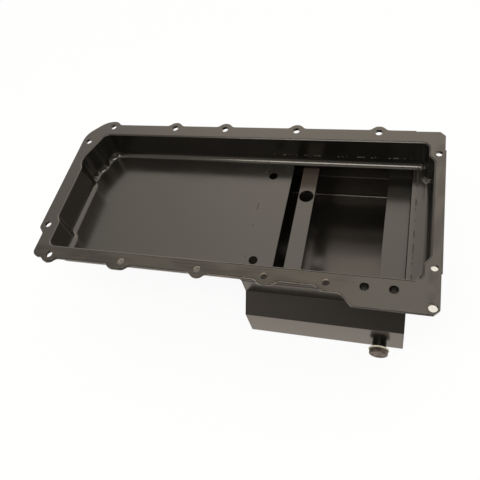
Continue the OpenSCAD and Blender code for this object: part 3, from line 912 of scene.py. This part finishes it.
def makeTray():
    s = traySet
    t, r, deep, lip = s["sheet"], s["bend"], s["deep"], s["lip"]
    turn = [math.pi / 2 * k / s["arcSteps"] for k in range(s["arcSteps"] + 1)]
    bendZ = -deep + r
    outside = [(r - (r + t) * math.sin(a), bendZ - (r + t) * math.cos(a)) for a in turn]
    inside = [(r * (1 - math.cos(a)), bendZ - r * math.sin(a)) for a in turn]
    top = [(-t + lip * (1 - math.cos(a)), -lip * (1 - math.sin(a))) for a in turn[::4]]
    section = outside + top + s["rim"] + inside
    # the same share of each stretch on every ring, so that the rings match point for point
    base = roundPath(insetPath(s["contour"], 0), s["cornerStep"])
    cuts = [max(1, math.ceil(math.dist(base[i], base[(i + 1) % len(base)]) / s["step"])) for i in range(len(base))]
    rings = []
    for d, z in section:
        path = roundPath(insetPath(s["contour"], d), s["cornerStep"])
        ring = []
        for i, (x, y) in enumerate(path):
            bx, by = path[(i + 1) % len(path)]
            ring += [(x + (bx - x) * k / cuts[i], y + (by - y) * k / cuts[i], z) for k in range(cuts[i])]
        rings.append([pushLumps(v) for v in ring])
    n = len(rings[0])
    verts = [p for ring in rings for p in ring]
    faces = ringFaces(len(rings), n) + endFaces(len(rings), n)
    mesh = solidMesh("tray", verts, faces)
    cutters = [boxCutter(*s["mouth"], *s["mouthCut"])]
    cutters += [rodCutter((x, y, -deep), s["drainBackR"], (0, 0, 1), 12) for x, y in s["drainBacks"]]
    return dressPiece("tray", cut(mesh, cutters), "tray", ["tray"])


sumpSet = {
    "mid": -1.5,
    "neck": 99.0,
    "neckDeep": 74.0,
    "kick": 22.5,
    "deep": 148.0,
    "fold": 4.0,
    "sheet": 2.0,
    "top": -44.2,
    "from": -37.0,
    "to": 158.0,
    "drain": (131.5, -135.2),
    "spigot": 7.65,            # radius of the hole for the bung
    "arcStep": 7,              # degrees
}


def sumpPath(top):
    s = sumpSet
    m, a, b = s["mid"], s["neck"], s["neck"] + s["kick"]
    z1, z2 = -s["neckDeep"], -s["neckDeep"] - s["kick"]
    f = s["fold"]
    return [(m + a, top, 0), (m - a, top, 0), (m - a, z1, f), (m - b, z2, f), (m - b, -s["deep"], f),
            (m + b, -s["deep"], f), (m + b, z2, f), (m + a, z1, f)]


def makeSump():
    s = sumpSet
    outer = roundPath(sumpPath(s["top"]), s["arcStep"])
    inner = roundPath(insetPath(sumpPath(s["top"] + s["sheet"]), s["sheet"]), s["arcStep"])
    # both start with the two top corners; go down the near side and up the far side
    section = outer[1:] + outer[:1] + inner[:1] + inner[:0:-1]
    n = len(section)
    verts = [(x, y, z) for x in (s["from"], s["to"]) for y, z in section]
    faces = ringFaces(2, n) + endFaces(2, n)
    x, z = s["drain"]
    panel = s["mid"] - s["neck"] - s["kick"]
    mesh = cut(solidMesh("sumpWrap", verts, faces), [rodCutter((x, panel, z), s["spigot"], (0, 1, 0), 12)])
    return dressPiece("sumpWrap", mesh, "wrap", ["sump_wrap"])


plugSet = {
    "place": (131.5, -133.0, -135.2),
    "shankR": 5.9,
    "shankLong": 13.0,
    "flangeR": 11.6,
    "flangeThick": 0.8,
    "acrossFlats": 21.8,
    "hexHigh": 5.2,
    "chamfer": 1.2,
    "cornerR": 11.7,           # the corners are worn round
    "turn": -4.0,              # degrees
    "edge": 0.2,
    "points": 144,
}


def makePlug():
    s = plugSet
    n, e = s["points"], s["edge"]
    half, corner = s["acrossFlats"] / 2, s["cornerR"]
    shank, flange, long = s["shankR"], s["flangeR"], s["shankLong"]
    t, top = s["flangeThick"], s["flangeThick"] + s["hexHigh"]

    def hexR(a):
        a = (math.degrees(a) - s["turn"]) % 60 - 30
        return half / math.cos(math.radians(a))

    # (height, radius limit, hexagonal or not)
    levels = [(-long, shank - 1, 0), (-long + 1, shank, 0), (0, shank, 0),
              (0, flange - e, 0), (e, flange, 0), (t - e, flange, 0), (t, flange - e, 0),
              (t, corner, 1), (t + 0.15, corner, 1), (top - s["chamfer"], corner, 1),
              (top - s["chamfer"] * 0.5, corner - 0.35, 1), (top - 0.25, corner - 0.9, 1),
              (top, half - 1.1, 0), (top - 0.1, half - 3.0, 0), (top - 0.1, half - 5.5, 0)]
    verts = []
    cx, cy, cz = s["place"]
    for h, limit, isHex in levels:
        for k in range(n):
            a = 2 * math.pi * k / n
            r = min(limit, hexR(a)) if isHex else limit
            verts.append((cx + r * math.cos(a), cy - h, cz + r * math.sin(a)))
    faces = ringFaces(len(levels), n) + endFaces(len(levels), n)
    return dressPiece("drainPlug", solidMesh("drainPlug", verts, faces), "plug", ["drain_plug"])


beadSet = {
    "pitch": 1.9,              # mm from ripple to ripple
    "ripple": 0.16,            # share of the radius
    "wander": 0.35,            # mm
    "perRipple": 5.0,          # rings of points from ripple to ripple
    "scallop": 1.7,
    "least": 0.85,
    "lumpy": 0.35,
    "lumpScale": 160.0,
    "sides": 12,
}


def beadTree():
    # Geometry Nodes: a rippled weld bead along a curve
    s = beadSet
    tree = bpy.data.node_groups.new("weldBead", "GeometryNodeTree")
    face = tree.interface
    face.new_socket("Path", in_out="INPUT", socket_type="NodeSocketGeometry")
    for label, value in (("Bead Radius", 0.002), ("Ripple Pitch", 0.002), ("Ripple Height", 0.15), ("Wander", 0.0003)):
        socket = face.new_socket(label, in_out="INPUT", socket_type="NodeSocketFloat")
        socket.default_value = value
    socket = face.new_socket("Seed", in_out="INPUT", socket_type="NodeSocketFloat")
    socket.default_value = 3.0
    face.new_socket("Finish", in_out="INPUT", socket_type="NodeSocketMaterial")
    face.new_socket("Bead", in_out="OUTPUT", socket_type="NodeSocketGeometry")
    make, link = tree.nodes.new, tree.links.new
    given, out = make("NodeGroupInput"), make("NodeGroupOutput")

    def calc(how, a, b=0.0):
        n = make("ShaderNodeMath")
        n.operation = how
        for socket, v in zip(n.inputs, (a, b)):
            if isinstance(v, bpy.types.NodeSocket):
                link(v, socket)
            else:
                socket.default_value = v
        return n.outputs[0]

    sample = make("GeometryNodeResampleCurve")
    sample.mode = "LENGTH"
    link(given.outputs["Path"], sample.inputs["Curve"])
    link(calc("DIVIDE", given.outputs["Ripple Pitch"], s["perRipple"]), sample.inputs["Length"])
    along = make("GeometryNodeSplineParameter")
    steps = calc("DIVIDE", along.outputs["Length"], given.outputs["Ripple Pitch"])
    scallop = calc("POWER", calc("FRACT", steps), s["scallop"])
    lump = make("ShaderNodeTexNoise")
    lump.noise_dimensions = "4D"
    lump.inputs["Scale"].default_value = s["lumpScale"]
    link(given.outputs["Seed"], lump.inputs["W"])
    where = make("GeometryNodeInputPosition")
    link(where.outputs[0], lump.inputs["Vector"])
    size = calc("ADD", calc("MULTIPLY", scallop, given.outputs["Ripple Height"]), s["least"])
    size = calc("ADD", size, calc("MULTIPLY", calc("SUBTRACT", lump.outputs["Fac"], 0.5), s["lumpy"]))
    away = make("ShaderNodeVectorMath")
    away.operation = "SUBTRACT"
    link(lump.outputs["Color"], away.inputs[0])
    away.inputs[1].default_value = (0.5, 0.5, 0.5)
    shift = make("ShaderNodeVectorMath")
    shift.operation = "SCALE"
    link(away.outputs[0], shift.inputs[0])
    link(given.outputs["Wander"], shift.inputs["Scale"])
    move = make("GeometryNodeSetPosition")
    link(sample.outputs["Curve"], move.inputs["Geometry"])
    link(shift.outputs[0], move.inputs["Offset"])
    radius = make("GeometryNodeSetCurveRadius")
    link(move.outputs["Geometry"], radius.inputs["Curve"])
    link(size, radius.inputs["Radius"])
    ring = make("GeometryNodeCurvePrimitiveCircle")
    ring.inputs["Resolution"].default_value = s["sides"]
    link(given.outputs["Bead Radius"], ring.inputs["Radius"])
    body = make("GeometryNodeCurveToMesh")
    link(radius.outputs["Curve"], body.inputs["Curve"])
    link(ring.outputs["Curve"], body.inputs["Profile Curve"])
    if "Scale" in body.inputs:
        link(size, body.inputs["Scale"])
    body.inputs["Fill Caps"].default_value = True
    smooth = make("GeometryNodeSetShadeSmooth")
    link(body.outputs["Mesh"], smooth.inputs["Geometry"])
    whole = make("GeometryNodeRealizeInstances")
    link(smooth.outputs["Geometry"], whole.inputs["Geometry"])
    paint = make("GeometryNodeSetMaterial")
    link(whole.outputs["Geometry"], paint.inputs["Geometry"])
    link(given.outputs["Finish"], paint.inputs["Material"])
    link(paint.outputs["Geometry"], out.inputs["Bead"])
    return tree


weldTree = beadTree()


def makeBeads(name, paths, radius, node, closed=False, seed=3.0, fill=False, finish="weld"):
    # with fill the CAD bead stays inside the rippled one, down to the root of the joint
    s = beadSet
    curve = bpy.data.curves.new(name + "Path", "CURVE")
    curve.dimensions = "3D"
    for points in paths:
        line = curve.splines.new("POLY")
        line.points.add(len(points) - 1)
        for p, q in zip(line.points, points):
            p.co = (*(Vector(q) * mm), 1)
        line.use_cyclic_u = closed
    obj = bpy.data.objects.new(name + "Path", curve)
    bpy.context.scene.collection.objects.link(obj)
    mod = obj.modifiers.new("bead", "NODES")
    mod.node_group = weldTree
    values = {"Bead Radius": radius * mm, "Ripple Pitch": s["pitch"] * mm, "Ripple Height": s["ripple"],
              "Wander": s["wander"] * mm, "Seed": seed, "Finish": finishes[finish][0]}
    for item in weldTree.interface.items_tree:
        if item.in_out == "INPUT" and item.name in values:
            mod[item.identifier] = values[item.name]
    graph = bpy.context.evaluated_depsgraph_get()
    graph.update()
    mesh = bpy.data.meshes.new_from_object(obj.evaluated_get(graph))
    bpy.data.objects.remove(obj)
    mesh.name = name
    if fill:
        bm = bmesh.new()
        bm.from_mesh(mesh)
        bm.from_mesh(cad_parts[node].data)
        bm.to_mesh(mesh)
        bm.free()
    return dressPiece(name, mesh, finish, [node])


weldSet = {
    "railOut": 1.0,
    "railDown": 0.9,
    "railR": 1.9,
    "sideX": (-38.5, 60, 159.5),
    "sideOut": 0.8,
    "sideZ": -43.2,
    "sideR": 0.7,
    "endX": (-40.4, 161.4),
    "endY": (-89, 0, 89),
    "endDown": 0.9,
    "endR": 1.8,
    "block": [(97.3, -107), (97.3, -126.7), (162.9, -126.7), (162.9, -107)],
    "blockDown": 0.7,
    "blockR": 1.5,
    "seamIn": 0.9,
    "seamOut": 1.7,
    "seamR": 0.95,
    "seamStep": 9,             # degrees
    "bungRing": 8.9,
    "bungIn": 0.1,
    "bungR": 0.55,
}


def makeWelds():
    w, t, s = weldSet, traySet, sumpSet
    m, under, plate = s["mid"], -t["deep"] - t["sheet"], -railSet["thick"]
    rail = roundPath(insetPath(t["contour"], -t["sheet"] - w["railOut"]), railSet["outlineStep"])
    makeBeads("railWeld", [[(x, y, plate - w["railDown"]) for x, y in rail]], w["railR"], "rail_weld", closed=True)
    side = s["neck"] + w["sideOut"]
    makeBeads("sumpSideWelds", [[(x, m + k * side, w["sideZ"]) for x in w["sideX"]] for k in (-1, 1)], w["sideR"],
              "sump_side_welds", seed=5.0, fill=True)
    makeBeads("sumpEndWelds", [[(x, m + y, under - w["endDown"]) for y in w["endY"]] for x in w["endX"]], w["endR"],
              "sump_end_welds", seed=7.0)
    makeBeads("portBlockWeld", [[(x, y, plate - w["blockDown"]) for x, y in w["block"]]], w["blockR"],
              "port_block_weld", seed=9.0)
    seam = roundPath(insetPath(sumpPath(s["top"]), w["seamIn"]), w["seamStep"])
    seam = seam[1:] + seam[:1]                 # from the near top corner round to the far one
    for name, node, x, seed in (("frontSeamWeld", "front_seam_weld", s["from"] - w["seamOut"], 13.0),
                                ("rearSeamWeld", "rear_seam_weld", s["to"] + w["seamOut"], 17.0)):
        makeBeads(name, [[(x, y, z) for y, z in seam]], w["seamR"], node, seed=seed, fill=True)
    panel = m - s["neck"] - s["kick"] - w["bungIn"]
    ring = [(x, panel, z) for x, z in circle(*s["drain"], w["bungRing"], meshSet["ringPoints"])]
    makeBeads("bungWeld", [ring], w["bungR"], "bung_weld", closed=True, seed=11.0, finish="bung")


# name, CAD node, finish, rounding in mm
plainPieces = [
    ("sumpFrontPlate", "sump_front_plate", "front", 0.3),
    ("sumpRearPlate", "sump_rear_plate", "sheet", 0.3),
    ("dipstickStrip", "dipstick_strip", "strip", 0.35),
    ("rearBaffle", "rear_baffle", "shelf", 0.35),
    ("portBlock", "port_block", "sheet", 0.6),
    ("drainBung", "drain_bung", "bung", 0.4),
    ("drainWasher", "drain_washer", "washer", 0.6),
]

makeRail()
makeTray()
print("rail and tray ready")
makeSump()
for name, node, finish, width in plainPieces:
    cadCopy(name, node, finish, width)
makePlug()
print("sump and drain ready")
makeWelds()
print("welds ready")
